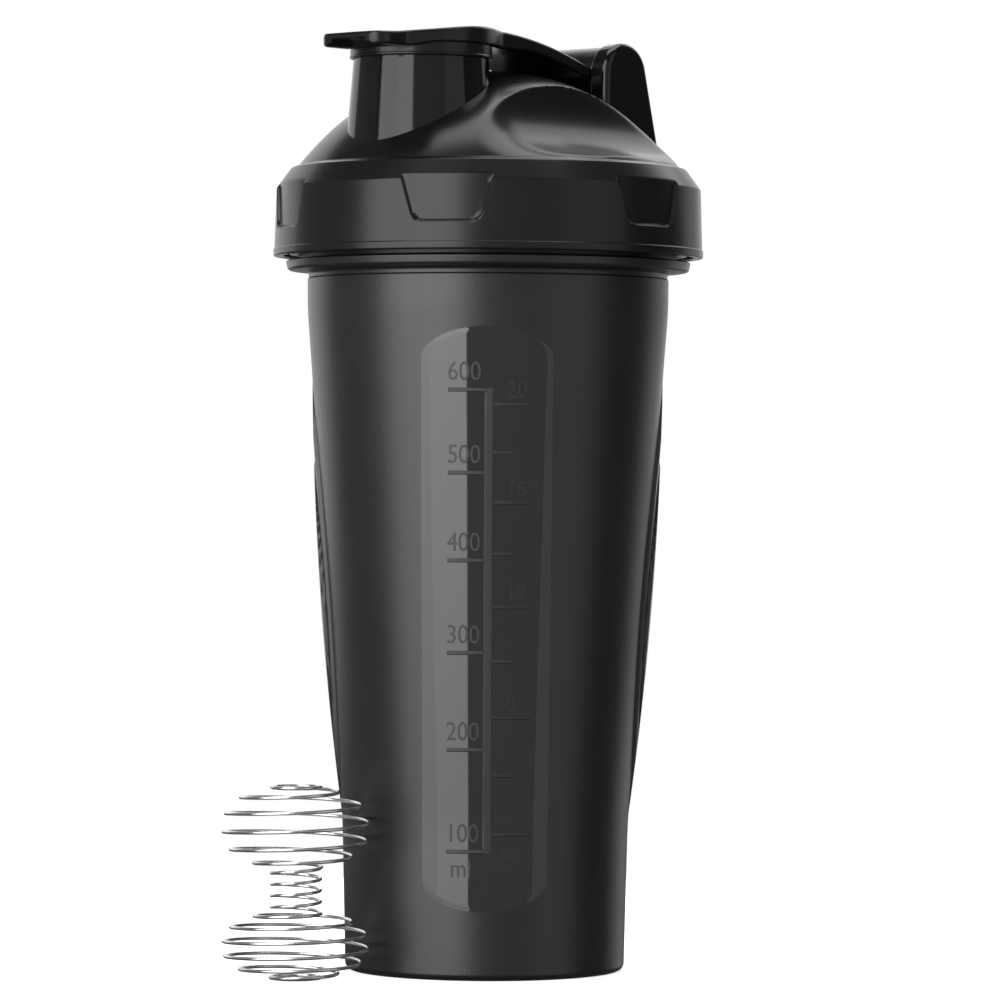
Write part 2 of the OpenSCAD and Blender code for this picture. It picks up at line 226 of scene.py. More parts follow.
def make_mesh(name, points, faces, heading=0.0):
    """A mesh object from points in millimetres, turned about +Z by a heading."""
    points = np.asarray(points, float).reshape(-1, 3)
    c, s = math.cos(heading), math.sin(heading)
    turned = points @ np.array([[c, s, 0], [-s, c, 0], [0, 0, 1]])
    mesh = bpy.data.meshes.new(name)
    mesh.from_pydata((turned * MM).tolist(), [], faces)
    mesh.validate()
    obj = bpy.data.objects.new(name, mesh)
    bpy.context.scene.collection.objects.link(obj)
    return obj


def lathe(name, path, columns, warp=None, closed=False, heading=0.0, height=None):
    """A turned solid. Its outline runs up the outside; a point at radius 0 is a pole."""
    path = np.asarray(path, float)
    poles = [None if closed or path[k][0] > 1e-6 else path[k][1] for k in (0, -1)]
    path = path[(poles[0] is not None) : len(path) - (poles[1] is not None)]
    if isinstance(columns, int):
        columns = np.linspace(0, 2 * math.pi, columns, endpoint=False)
    angle, columns = columns, len(columns)
    radius = np.repeat(path[:, :1], columns, axis=1)
    z = np.repeat(path[:, 1:2], columns, axis=1)
    turn = np.repeat(angle[None, :], len(path), axis=0)
    if warp:
        radius, z = warp(radius, z, turn)
    points = np.stack([radius * np.cos(turn), radius * np.sin(turn), z], -1).reshape(-1, 3).tolist()
    faces = grid_faces(len(path), columns, close_rows=closed)
    for pole, row, flip in ((poles[0], 0, True), (poles[1], len(path) - 1, False)):
        if pole is None:
            continue
        tip = len(points)
        points.append([0, 0, pole if height is None else height(pole)])
        for k in range(columns):
            a, b = row * columns + k, row * columns + (k + 1) % columns
            faces.append([b, a, tip] if flip else [a, b, tip])
    return make_mesh(name, points, faces, heading)


def slab(name, top, under, heading=0.0):
    """A closed sheet between two grids of points, the top one seen from outside."""
    rows, columns = top.shape[:2]
    count = rows * columns
    faces = grid_faces(rows, columns, close_columns=False)
    faces += [[v + count for v in reversed(face)] for face in faces]
    edge = list(range(columns))
    edge += [r * columns + columns - 1 for r in range(1, rows)]
    edge += [(rows - 1) * columns + c for c in range(columns - 2, -1, -1)]
    edge += [r * columns for r in range(rows - 2, 0, -1)]
    for a, b in zip(edge, edge[1:] + edge[:1]):
        faces.append([b, a, a + count, b + count])
    points = np.concatenate([top.reshape(-1, 3), under.reshape(-1, 3)])
    return make_mesh(name, points, faces, heading)


def loft(name, loops, heading=0.0):
    """A solid through a row of closed loops, with a flat face on each end."""
    loops = np.asarray(loops, float)
    rows, columns = loops.shape[:2]
    faces = grid_faces(rows, columns)
    faces.append(list(range(columns))[::-1])
    faces.append([(rows - 1) * columns + k for k in range(columns)])
    return make_mesh(name, loops, faces, heading)


def shade(obj, angle=32):
    """Smooth shading with crisp edges where faces meet above an angle."""
    obj.data.shade_smooth()
    obj.data.set_sharp_from_angle(angle=math.radians(angle))
    even = obj.modifiers.new("even_shading", "WEIGHTED_NORMAL")
    even.keep_sharp = True
    settle(obj)


def cut_or_join(obj, others, operation):
    """Applies a boolean of obj with each of the others, and removes them."""
    for other in others:
        modifier = obj.modifiers.new("shape", "BOOLEAN")
        modifier.operation = operation
        modifier.solver = "MANIFOLD"
        modifier.object = other
        settle(obj)
        bpy.data.meshes.remove(other.data)


def settle(obj):
    """Turns an object's evaluated shape into its own plain mesh."""
    bpy.context.view_layer.update()
    graph = bpy.context.evaluated_depsgraph_get()
    mesh = bpy.data.meshes.new_from_object(obj.evaluated_get(graph))
    obj.modifiers.clear()
    old = obj.data
    mesh.name = old.name
    obj.data = mesh
    if old.users == 0:
        bpy.data.meshes.remove(old)


def set_inputs(modifier, tree, values):
    """Gives a modifier its geometry nodes and the values of their named inputs."""
    modifier.node_group = tree
    for item in tree.interface.items_tree:
        if item.in_out == "INPUT" and item.name in values:
            modifier[item.identifier] = values[item.name]


def to_spout(obj):
    """Moves a turned shape from the bottle's axis to the spout's."""
    for vertex in obj.data.vertices:
        vertex.co.x += SPOUT_X * math.cos(HEADING) * MM
        vertex.co.y += SPOUT_X * math.sin(HEADING) * MM
    return obj


def about_hinge(radius, turns):
    """Points (x, z) round the hinge's axis, at some angles."""
    return [(-HINGE_X + radius * math.cos(a), HINGE_Z + radius * math.sin(a)) for a in turns]


def arc(y, z, radius, start, stop):
    """Points (y, z) round a centre, every 15 degrees from one angle to another."""
    angles = np.radians(np.arange(start, stop + 1, 15))
    return [(y + radius * math.cos(a), z + radius * math.sin(a)) for a in angles]


def join(obj, others):
    """Adds the others' meshes to obj's."""
    with bpy.context.temp_override(active_object=obj, selected_editable_objects=[obj, *others]):
        bpy.ops.object.join()
    return obj


def hand_over(obj, material, slot, body, *nodes, angle=32):
    """Gives a finished piece its material, shading and body, and hides the nodes it stands for."""
    if material:
        obj.data.materials.clear()
        obj.data.materials.append(material)
    shade(obj, angle)
    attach(obj, body)
    if nodes:
        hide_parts(*nodes)
    return obj


# ---------------------------------------------------------------- shader groups and materials


def socket(tree, name, into, default=None, kind="NodeSocketFloat"):
    """Adds one named socket to a node group."""
    item = tree.interface.new_socket(name=name, in_out=into, socket_type=kind)
    if default is not None:
        item.default_value = default


def nodes_of(tree, *kinds):
    """Makes a node of each kind in a tree."""
    return [tree.nodes.new(kind) for kind in kinds]


def moulded_grain():
    """Shader group: the fine grain of a moulded surface, with slow drift in its gloss."""
    name = "Moulded grain"
    if name in bpy.data.node_groups:
        return bpy.data.node_groups[name]
    tree = bpy.data.node_groups.new(name, "ShaderNodeTree")
    socket(tree, "Grain size", "INPUT", 0.0004)
    socket(tree, "Grain depth", "INPUT", 0.1)
    socket(tree, "Roughness", "INPUT", 0.4)
    socket(tree, "Drift", "INPUT", 0.05)
    socket(tree, "Roughness", "OUTPUT")
    socket(tree, "Mottle", "OUTPUT")
    socket(tree, "Normal", "OUTPUT", kind="NodeSocketVector")
    link = tree.links.new
    inside, outside, place, scale = nodes_of(
        tree, "NodeGroupInput", "NodeGroupOutput", "ShaderNodeTexCoord", "ShaderNodeMath"
    )
    grain, cloud, drift, total, bump = nodes_of(
        tree, "ShaderNodeTexNoise", "ShaderNodeTexNoise", "ShaderNodeMath", "ShaderNodeMath",
        "ShaderNodeBump",
    )
    scale.operation = "DIVIDE"
    scale.inputs[0].default_value = 1
    link(inside.outputs["Grain size"], scale.inputs[1])
    link(place.outputs["Object"], grain.inputs["Vector"])
    link(scale.outputs[0], grain.inputs["Scale"])
    grain.inputs["Detail"].default_value = 3
    link(place.outputs["Object"], cloud.inputs["Vector"])
    cloud.inputs["Scale"].default_value = 55
    cloud.inputs["Detail"].default_value = 4
    drift.operation = "MULTIPLY_ADD"
    link(cloud.outputs["Fac"], drift.inputs[0])
    link(inside.outputs["Drift"], drift.inputs[1])
    link(inside.outputs["Roughness"], drift.inputs[2])
    total.operation = "SUBTRACT"
    link(drift.outputs[0], total.inputs[0])
    half = tree.nodes.new("ShaderNodeMath")
    half.operation = "MULTIPLY"
    half.inputs[1].default_value = 0.5
    link(inside.outputs["Drift"], half.inputs[0])
    link(half.outputs[0], total.inputs[1])
    bump.inputs["Distance"].default_value = 0.0001
    link(inside.outputs["Grain depth"], bump.inputs["Strength"])
    link(grain.outputs["Fac"], bump.inputs["Height"])
    link(total.outputs[0], outside.inputs["Roughness"])
    link(cloud.outputs["Fac"], outside.inputs["Mottle"])
    link(bump.outputs["Normal"], outside.inputs["Normal"])
    return tree


def shade_range():
    """Shader group: a colour that varies a little, lighter and darker, with a mask."""
    name = "Shade range"
    if name in bpy.data.node_groups:
        return bpy.data.node_groups[name]
    tree = bpy.data.node_groups.new(name, "ShaderNodeTree")
    socket(tree, "Colour", "INPUT", (0.5, 0.5, 0.5, 1), "NodeSocketColor")
    socket(tree, "Mask", "INPUT", 0.5)
    socket(tree, "Spread", "INPUT", 0.2)
    socket(tree, "Colour", "OUTPUT", kind="NodeSocketColor")
    link = tree.links.new
    inside, outside, spread, vary = nodes_of(
        tree, "NodeGroupInput", "NodeGroupOutput", "ShaderNodeMapRange", "ShaderNodeHueSaturation"
    )
    low, high = nodes_of(tree, "ShaderNodeMath", "ShaderNodeMath")
    low.operation = "SUBTRACT"
    high.operation = "ADD"
    for node in (low, high):
        node.inputs[0].default_value = 1
        link(inside.outputs["Spread"], node.inputs[1])
    spread.inputs["From Min"].default_value = 0.3
    spread.inputs["From Max"].default_value = 0.7
    link(inside.outputs["Mask"], spread.inputs["Value"])
    link(low.outputs[0], spread.inputs["To Min"])
    link(high.outputs[0], spread.inputs["To Max"])
    link(inside.outputs["Colour"], vary.inputs["Color"])
    link(spread.outputs["Result"], vary.inputs["Value"])
    link(vary.outputs["Color"], outside.inputs["Colour"])
    return tree


def plastic(name, colour, roughness, grain=0.0004, depth=0.1, drift=0.05, spread=0.1, specular=0.5):
    """A moulded material: grain, slow drift in gloss and a little variation in colour."""
    if name in bpy.data.materials:
        return bpy.data.materials[name]
    material = bpy.data.materials.new(name)
    material.use_nodes = True
    tree = material.node_tree
    shader = tree.nodes["Principled BSDF"]
    surface, tint = nodes_of(tree, "ShaderNodeGroup", "ShaderNodeGroup")
    surface.node_tree = moulded_grain()
    tint.node_tree = shade_range()
    surface.inputs["Grain size"].default_value = grain
    surface.inputs["Grain depth"].default_value = depth
    surface.inputs["Roughness"].default_value = roughness
    surface.inputs["Drift"].default_value = drift
    tint.inputs["Colour"].default_value = (*colour, 1)
    tint.inputs["Spread"].default_value = spread
    shader.inputs["Specular IOR Level"].default_value = specular
    tree.links.new(surface.outputs["Mottle"], tint.inputs["Mask"])
    tree.links.new(tint.outputs["Colour"], shader.inputs["Base Color"])
    tree.links.new(surface.outputs["Roughness"], shader.inputs["Roughness"])
    tree.links.new(surface.outputs["Normal"], shader.inputs["Normal"])
    return material


def finish_colours():
    """The colours that the panel offers."""
    return bpy.context.scene.shaker_finish


def frosted_plastic():
    """The cup: a fine, even grain that scatters light."""
    return plastic(
        "frosted_plastic", finish_colours().cup, roughness=0.33,
        grain=0.00035, depth=0.35, drift=0.05, spread=0.12, specular=0.8,
    )


def window_gloss():
    """The window: the same plastic with a polished face."""
    return plastic(
        "window_gloss", finish_colours().cup, roughness=0.05,
        grain=0.006, depth=0.03, drift=0.02, spread=0.08, specular=1.0,
    )


def mark_plastic():
    """The raised graduations, a little duller than the window."""
    return plastic(
        "mark_plastic", finish_colours().cup, roughness=0.5,
        grain=0.0003, depth=0.2, drift=0.05, spread=0.1, specular=1.0,
    )


def satin_plastic():
    """The collar, its ribs and the flip cap."""
    return plastic(
        "satin_plastic", finish_colours().lid, roughness=0.27,
        grain=0.0006, depth=0.12, drift=0.06, spread=0.12,
    )


def dome_plastic():
    """The dome: smoother than the collar."""
    return plastic(
        "dome_plastic", finish_colours().lid, roughness=0.23,
        grain=0.0008, depth=0.08, drift=0.05, spread=0.12,
    )


def spout_gloss():
    """The spout and the hinge ears, moulded smooth."""
    return plastic(
        "spout_gloss", finish_colours().lid, roughness=0.09,
        grain=0.001, depth=0.06, drift=0.04, spread=0.1,
    )


def silicone():
    """The seals: soft, dusty and matt."""
    return plastic(
        "silicone", finish_colours().seal, roughness=0.62,
        grain=0.0005, depth=0.3, drift=0.1, spread=0.25,
    )


def drawn_wire():
    """The mixer's wire: bright steel with fine marks left by the drawing die."""
    name = "drawn_wire"
    if name in bpy.data.materials:
        return bpy.data.materials[name]
    material = plastic(
        name, finish_colours().wire, roughness=0.18,
        grain=0.0002, depth=0.2, drift=0.08, spread=0.1,
    )
    material.node_tree.nodes["Principled BSDF"].inputs["Metallic"].default_value = 1
    return material


# ---------------------------------------------------------------- cup


def cup_outline(wall, flange_r):
    """The cup's section, from the middle of its foot up the outside and down the inside."""
    inner = SHOULDER[0] - wall
    return rounded(
        [
            (0, 0.8, 0), (25.8, 0.8, 0.3), (26.6, 0, 0.3), (34.45, 0, 1.8),
            (*WAIST, 200), (*SHOULDER, 60), (SHOULDER[0] + 0.05, FLANGE_Z - 0.25, 0.2),
            (SHOULDER[0] - 0.25, FLANGE_Z + 0.1, 0.15), (SHOULDER[0] - 0.15, 172.0, 1.6),
            (47.2, 172.4, 1.5), (flange_r - 0.55, 172.6, 0.9), (flange_r, 174.95, 0.35),
            (46.2, 174.95, 0.5), (46.2, RIM_Z, 0.5), (44, RIM_Z, 0.35), (44, 174, 3),
            (inner, FLANGE_Z, 3), (inner - 0.05, SHOULDER[1], 60),
            (WAIST[0] - wall, WAIST[1], 200), (34.4 - wall, 2.5, 3), (0, 2.5, 0),
        ]
    )


# The outside wall alone, from above the foot's corner to just below the flange
WALL = cup_outline(CUP_WALL, FLANGE_R)
WALL = WALL[: np.argmax(WALL[:, 1] > FLANGE_Z - 1)]
WALL = WALL[WALL[:, 0] > 33]


def wall_r(z):
    """Outside radius of the cup at a height."""
    return np.interp(z, WALL[:, 1], WALL[:, 0])


def helix_ridge(z, turn, start_z, turns, pitch=5.0, root=1.0, crest=0.55, fade=0.35):
    """How full a helical ridge is at a height and an angle, from 0 to 1."""
    full = np.zeros_like(z)
    for lap in range(math.ceil(turns) + 1):
        angle = turn + 2 * math.pi * lap
        away = np.abs(z - start_z - pitch * angle / (2 * math.pi))
        inside = np.minimum(angle, 2 * math.pi * turns - angle) / fade
        full = np.maximum(full, np.clip((root - away) / (root - crest), 0, 1) * np.clip(inside, 0, 1))
    return full


class SHAKER_OT_cup(bpy.types.Operator):
    """Turn the cup, with its foot, flange and threaded neck"""

    bl_idname = "shaker.cup"
    bl_label = "Cup"

    neck_r = 45.9
    neck_z = 176
    thread_z = 181
    thread_turns = 1.25
    thread_proud = 1.2

    def execute(self, context):
        cup = context.scene.shaker_cup
        outline = cup_outline(cup.wall, cup.flange_r)
        outline = filled(outline, 0.35, self.thread_z - 3, self.thread_z + 9)
        outline = filled(outline, 8, 0, FLANGE_Z)

        def thread(radius, z, turn):
            outer = (radius > self.neck_r) & (z > self.neck_z)
            ridge = helix_ridge(z, turn, self.thread_z, self.thread_turns)
            return radius + self.thread_proud * outer * ridge, z

        obj = lathe("cup_body", outline, 256, thread)
        hand_over(obj, frosted_plastic(), "cup_plastic", "cup", "cup")
        return {"FINISHED"}


class SHAKER_OT_window(bpy.types.Operator):
    """Lay the polished window on the cup's front, with its raised graduations"""

    bl_idname = "shaker.window"
    bl_label = "Window and graduations"

    proud = 0.08
    raised = 0.14
    end_h = 7.8
    edge = 1.2
    line = 0.5
    ounce = 29.1

    def execute(self, context):
        cup = context.scene.shaker_cup
        low, high = cup.window_low, cup.window_high
        middle = (low + high) / 2
        share = (1 - np.cos(np.linspace(0, math.pi, 150))) / 2
        z = (low + (high - low) * share)[:, None]
        across = np.sin(np.linspace(-math.pi / 2, math.pi / 2, 72))[None, :]
        reach = math.radians(cup.window_angle) * wall_r((z + 4 * middle) / 5)
        bend = 0.997 * np.clip(1 - np.minimum(z - low, high - z) / self.end_h, 0, 1)
        side = reach * np.sqrt(1 - bend**2) * across
        out = np.sqrt((side / reach) ** 2 + bend**2)
        steepness = np.sqrt((side / reach**2) ** 2 + (bend / self.end_h) ** 2) / np.maximum(out, 1e-6)
        depth = (1 - out) / np.maximum(steepness, 1 / 60)
        height = 0.005 + self.proud * smooth(depth / self.edge)
        obj = slab("window", on_wall(side, z, height), on_wall(side, z, height * 0 - 0.6))
        hand_over(obj, window_gloss(), "cup_plastic", "cup", "cup")
        marks = [self.bar(0.5, 2.1, mark_z(100) - self.line, mark_z(600) + self.line)]
        for ml in range(100, 700, 100):
            at = mark_z(ml)
            marks.append(self.bar(-4.7, 9.4, at - self.line, at + self.line))
            marks.append(self.words(str(ml), -5.5, at + 2.3, cup.digit_h))
        for ounces in range(4, 21, 2):
            long = ounces % 4 == 0
            reach = 10.6 if long else 6.2
            at = mark_z(ounces * self.ounce)
            marks.append(self.bar(0.5 + reach / 2, reach, at - self.line, at + self.line))
            if long:
                marks.append(self.words(str(ounces), 4.6, at + 1.6, cup.digit_h * 0.94, "LEFT"))
        marks.append(self.words("oz", 6.3, mark_z(100) - 1.6, cup.digit_h))
        marks.append(self.words("ml", -5.8, mark_z(100) - 6.2, cup.digit_h))
        obj = join(marks[0], marks[1:])
        obj.name = "graduations"
        hand_over(obj, mark_plastic(), "cup_plastic", "cup", "cup")
        return {"FINISHED"}

    def bar(self, middle, width, low, high):
        """A low bar with soft edges, centred at a distance across the window."""
        across = np.linspace(0.3 - width / 2, width / 2 - 0.3, max(4, int(width / 0.5)))
        ends = np.array([0, 0.1, 0.2]) - width / 2
        side = middle + np.concatenate([ends, across, -ends[::-1]])[None, :]
        z = np.linspace(low, high, max(6, int((high - low) / 4)))[:, None]
        depth = np.minimum(width / 2 - np.abs(side - middle), np.minimum(z - low, high - z))
        height = self.proud + self.raised * smooth(depth / 0.2)
        return slab("bar", on_wall(side, z, height), on_wall(side, z, height * 0 - 0.2))

    def words(self, text, middle, low, size, align="CENTER"):
        """Raised characters, bent round the wall."""
        curve = bpy.data.curves.new("words", "FONT")
        curve.body = text
        curve.size = size
        curve.align_x = align
        curve.extrude = 0.25
        curve.resolution_u = 4
        obj = bpy.data.objects.new("words", curve)
        bpy.context.scene.collection.objects.link(obj)
        bpy.context.view_layer.update()
        mesh = bpy.data.meshes.new_from_object(
            obj.evaluated_get(bpy.context.evaluated_depsgraph_get())
        )
        bpy.data.curves.remove(curve)
        flat = np.array([v.co for v in mesh.vertices])
        height = self.proud + np.where(flat[:, 2] > 0, self.raised, -0.3)
        points = on_wall(flat[:, 0] * 0.86 + middle, flat[:, 1] + low, height)
        faces = [list(face.vertices) for face in mesh.polygons]
        bpy.data.meshes.remove(mesh)
        return make_mesh("words", points, faces)


def on_wall(side, z, height):
    """Points at a distance across the cup's front, a height up it and a height off its wall."""
    side, z, height = np.broadcast_arrays(side, z, height)
    radius = wall_r(z)
    turn = FRONT + side / radius
    radius = radius + height
    return np.stack([radius * np.cos(turn), radius * np.sin(turn), z], -1)


def mark_z(ml):
    """Height of a graduation: the marks close up as the cup widens."""
    first, gap, closing = 31.4, 25.2, 0.59
    step = ml / 100 - 1
    return first + gap * step - closing * step * step


class SHAKER_OT_grips(bpy.types.Operator):
    """Lay a lens-shaped grip, with a raised panel, on each side of the cup"""

    bl_idname = "shaker.grips"
    bl_label = "Side grips"

    def execute(self, context):
        cup = context.scene.shaker_cup
        low, high = cup.grip_low, cup.grip_high
        z = np.linspace(low, high, 330)[:, None]
        across = np.sin(np.linspace(-math.pi / 2, math.pi / 2, 60))[None, :]
        half = lens(z, low, high, cup.grip_w) + 0.02
        side = half * across
        share = (z - low) / (high - low)
        bulge = cup.grip_proud * 4 * share * (1 - share)
        inner = lens(z, low + 11, high - 19.5, cup.grip_w * 0.72)
        rim = np.minimum(bulge, 0.8) * smooth((half - np.abs(side)) / 0.45)
        panel = np.maximum(bulge - rim, 0) * smooth((inner - np.abs(side)) / 0.6)
        height = rim + panel
        height = np.where(half - np.abs(side) < 0.05, -0.25, height)
        for name, turn in (("grip_right", -FRONT), ("grip_left", FRONT)):
            obj = slab(name, on_wall(side, z, height), on_wall(side, z, height * 0 - 0.8), turn)
            hand_over(obj, frosted_plastic(), "cup_plastic", "cup", "cup")
        return {"FINISHED"}


def lens(z, low, high, width):
    """Half width of a lens shape between two tips."""
    half = (high - low) / 2
    radius = (half * half + width * width) / (2 * width)
    away = np.clip(np.abs(z - (low + high) / 2), 0, half)
    return np.sqrt(radius**2 - away**2) - (radius - width)


# ---------------------------------------------------------------- lid


class SHAKER_OT_collar(bpy.types.Operator):
    """Turn the lid's collar, with its notches, groove, thread and plug ring"""

    bl_idname = "shaker.collar"
    bl_label = "Lid collar"

    face_r = 52.4
    inner_r = 47.75
    notch_z = 182.5
    notch_high = 197.7
    notch_w = 8.3
    flare = 0.31

    def notch_half(self, rise):
        """Half a notch's width at a height over its lower edge."""
        return self.notch_w + self.flare * rise

    def execute(self, context):
        lid = context.scene.shaker_lid
        low, edge = COLLAR_Z, lid.collar_r
        outline = rounded(
            [
                (51.6, low, 0), (edge, low, 0.45), (edge, low + 1.75, 0.1),
                (edge - 0.25, low + 2.0, 0.15), (52.45, 192.8, 0.7), (48.9, 197.7, 0.6),
                (46.7, 198.55, 0.4), (44, 198.55, 0), (42.2, 198.45, 0.1), (42.2, 190.5, 0.3),
                (43.7, 190.5, 0.5), (43.7, 196.4, 0.2), (self.inner_r, 196.4, 0.3),
                (self.inner_r, low + 0.6, 0.6), (49.4, low + 0.6, 0.3), (49.4, 191.5, 0.4),
                (50.9, 191.5, 0.4), (50.9, low, 0.4), (51.6, low, 0),
            ],
            4,
        )[:-1]
        outer = filled(outline[outline[:, 0] > 51.9], 0.4, 181, 193)
        split = np.flatnonzero(outline[:, 0] > 51.9)
        chamfer = filled(outline[split[-1] : split[-1] + 2], 0.5)[1:-1]
        rest = filled(outline[split[-1] + 1 :], 0.42, 177.5, 189)
        keep = (rest[:, 0] > 47) & (rest[:, 0] < 48.2) | np.isin(rest[:, 1], outline[:, 1])
        outline = np.concatenate([outline[: split[0]], outer, chamfer, rest[keep]])
        sector = self.face_r * math.pi / lid.notches
        side = self.notch_half(6)
        knots = [0, side - 0.6, side - 0.25, side + 0.25, side + 0.6, sector]
        counts = (10, 2, 4, 2, 16)
        stretches = zip(knots, knots[1:], counts)
        steps = np.concatenate([np.linspace(a, b, n, endpoint=False) for a, b, n in stretches])
        steps = np.concatenate([steps, [sector], -steps[:0:-1]])
        laps = np.arange(lid.notches)[:, None] * 2 * sector + sector
        columns = np.sort((steps[None, :] + laps).ravel()) / self.face_r

        def shape(radius, z, turn):
            here = (turn * self.face_r) % (2 * sector) - sector
            width = self.notch_half(np.clip(z, self.notch_z, self.notch_high) - self.notch_z)
            away = np.abs(here)
            bent = np.where(
                away < side, away * width / side,
                sector - (sector - away) * (sector - width) / (sector - side),
            )
            turn += np.sign(here) * (bent - away) / self.face_r
            outside = (radius > 50.95) & (z > 181)
            depth = soft_min((width - bent) * 0.955, z - self.notch_z, 2.4)
            floor = 52.6 - lid.notch_depth - (z - self.notch_z) * 0.02
            cut = np.clip(radius - floor, 0, None) * smooth(depth / 0.6)
            turn += HEADING
            inside = (np.abs(radius - self.inner_r) < 0.02) & (z > low + 1) & (z < 195)
            ridge = 1.3 * helix_ridge(z, turn % (2 * math.pi), 178.5, 1.0)
            return radius - outside * cut - inside * ridge, z

        obj = lathe("lid_collar", outline, columns, shape, closed=True)
        hand_over(obj, satin_plastic(), "lid_plastic", "lid", "lid")
        self.groove_ribs(lid, low)
        return {"FINISHED"}

    def groove_ribs(self, lid, low):
        """Small ribs between the collar's skin and its threaded wall."""
        mesh = bpy.data.meshes.new("collar_ribs")
        obj = bpy.data.objects.new("collar_ribs", mesh)
        bpy.context.scene.collection.objects.link(obj)
        values = {
            "Count": lid.ribs, "Radius": 50.15 * MM, "Length": 1.7 * MM, "Thickness": 0.7 * MM,
            "Height": 14 * MM, "Base": (low + 1.3) * MM, "Material": satin_plastic(),
        }
        set_inputs(obj.modifiers.new("ribs", "NODES"), ring_of_ribs(), values)
        settle(obj)
        hand_over(obj, None, "lid_plastic", "lid", "lid")


def ring_of_ribs():
    """Geometry nodes: boxes spaced evenly round a circle about +Z."""
    tree = bpy.data.node_groups.new("Ring of ribs", "GeometryNodeTree")
    socket(tree, "Count", "INPUT", 24, "NodeSocketInt")
    for name in ("Radius", "Length", "Thickness", "Height", "Base"):
        socket(tree, name, "INPUT", 0.001)
    socket(tree, "Material", "INPUT", None, "NodeSocketMaterial")
    socket(tree, "Geometry", "OUTPUT", kind="NodeSocketGeometry")
    link = tree.links.new
    inside, outside, circle, box, size, middle = nodes_of(
        tree, "NodeGroupInput", "NodeGroupOutput", "GeometryNodeMeshCircle", "GeometryNodeMeshCube",
        "ShaderNodeCombineXYZ", "ShaderNodeMath",
    )
    lift, offset, spread, place, turn, real, paint = nodes_of(
        tree, "GeometryNodeTransform", "ShaderNodeCombineXYZ", "GeometryNodeInputPosition",
        "GeometryNodeInstanceOnPoints", "FunctionNodeAlignRotationToVector",
        "GeometryNodeRealizeInstances", "GeometryNodeSetMaterial",
    )
    link(inside.outputs["Count"], circle.inputs["Vertices"])
    link(inside.outputs["Radius"], circle.inputs["Radius"])
    for name, axis in (("Length", "X"), ("Thickness", "Y"), ("Height", "Z")):
        link(inside.outputs[name], size.inputs[axis])
    link(size.outputs[0], box.inputs["Size"])
    middle.operation = "MULTIPLY_ADD"
    middle.inputs[1].default_value = 0.5
    link(inside.outputs["Height"], middle.inputs[0])
    link(inside.outputs["Base"], middle.inputs[2])
    link(middle.outputs[0], offset.inputs["Z"])
    link(box.outputs["Mesh"], lift.inputs["Geometry"])
    link(offset.outputs[0], lift.inputs["Translation"])
    turn.axis = "X"
    link(spread.outputs[0], turn.inputs["Vector"])
    link(circle.outputs["Mesh"], place.inputs["Points"])
    link(lift.outputs["Geometry"], place.inputs["Instance"])
    link(turn.outputs["Rotation"], place.inputs["Rotation"])
    link(place.outputs["Instances"], real.inputs["Geometry"])
    link(real.outputs["Geometry"], paint.inputs["Geometry"])
    link(inside.outputs["Material"], paint.inputs["Material"])
    link(paint.outputs["Geometry"], outside.inputs["Geometry"])
    return tree


class SHAKER_OT_dome(bpy.types.Operator):
    """Shape the lid's dome with its scoops, and join on the spout and the hinge ears"""

    bl_idname = "shaker.dome"
    bl_label = "Lid dome, spout and ears"

    base_z = 197.2
    rim_r = 47.3
    bore_r = 42.35
    # An outline's points from this height up are laid on the dome's surface
    surface_z = 300

    def execute(self, context):
        lid = context.scene.shaker_lid
        rings = filled(np.array([(0, 0), (self.rim_r, 0)]), 0.45)[:, 0]
        outline = [(r, self.surface_z + k) for k, r in enumerate(rings[::-1])]
        outline = [(0, self.base_z), (30, self.base_z), (self.rim_r, self.base_z), *outline]

        def crown(radius, z, turn):
            x, y = radius * np.cos(turn), radius * np.sin(turn)
            over = dome_z(x, y, lid.dome_r, lid.scoop_r)
            return radius, np.where(z >= self.surface_z, over, z)

        top_z = DOME_MID_Z + lid.dome_r
        dome = lathe("lid_dome", outline, 320, crown, heading=HEADING, height=lambda z: min(z, top_z))
        spout = tube("spout", lid.spout_r, 197.3, SPOUT_Z, 0.9)
        ears = [ear(side, lid.ear_r) for side in (-1, 1)]
        cut_or_join(dome, [spout, *ears], "UNION")
        inner = [(0, 189), (self.bore_r, 189), (self.bore_r, 199)]
        inner += [(r, self.surface_z) for r in np.linspace(self.bore_r, 0, 40)]

        def ceiling(radius, z, turn):
            x, y = radius * np.cos(turn), radius * np.sin(turn)
            under = dome_z(x, y, lid.dome_r - 2, lid.scoop_r + 2)
            return radius, np.where(z >= self.surface_z, under, z)

        under_z = DOME_MID_Z + lid.dome_r - 2
        hollow = lathe("hollow", inner, 160, ceiling, heading=HEADING, height=lambda z: min(z, under_z))
        bore = tube("bore", lid.spout_bore, 199, 228, 0)
        sockets = [pivot(side, 3.05, 12.9, 16.5) for side in (-1, 1)]
        cut_or_join(dome, [hollow, bore, *sockets], "DIFFERENCE")
        hand_over(dome, dome_plastic(), "lid_plastic", "lid", "lid")
        self.polish(dome)
        return {"FINISHED"}

    def polish(self, dome):
        """Gives the spout and the ears a glossier finish than the dome."""
        dome.data.materials.append(spout_gloss())
        c, s = math.cos(HEADING), math.sin(HEADING)
        for face in dome.data.polygons:
            at = face.center / MM
            x, y = c * at.x + s * at.y, -s * at.x + c * at.y
            normal = face.normal
            level = abs(normal.z) < 0.35
            on_spout = abs(math.hypot(x - SPOUT_X, y) - 17.2) < 1.6 and level
            on_lip = math.hypot(x - SPOUT_X, y) < 17.3 and at.z > 225
            on_ear = x < -22 and 13 < abs(y) < 18.6 and (at.z > 217 or level)
            if on_spout or on_lip or on_ear:
                face.material_index = 1


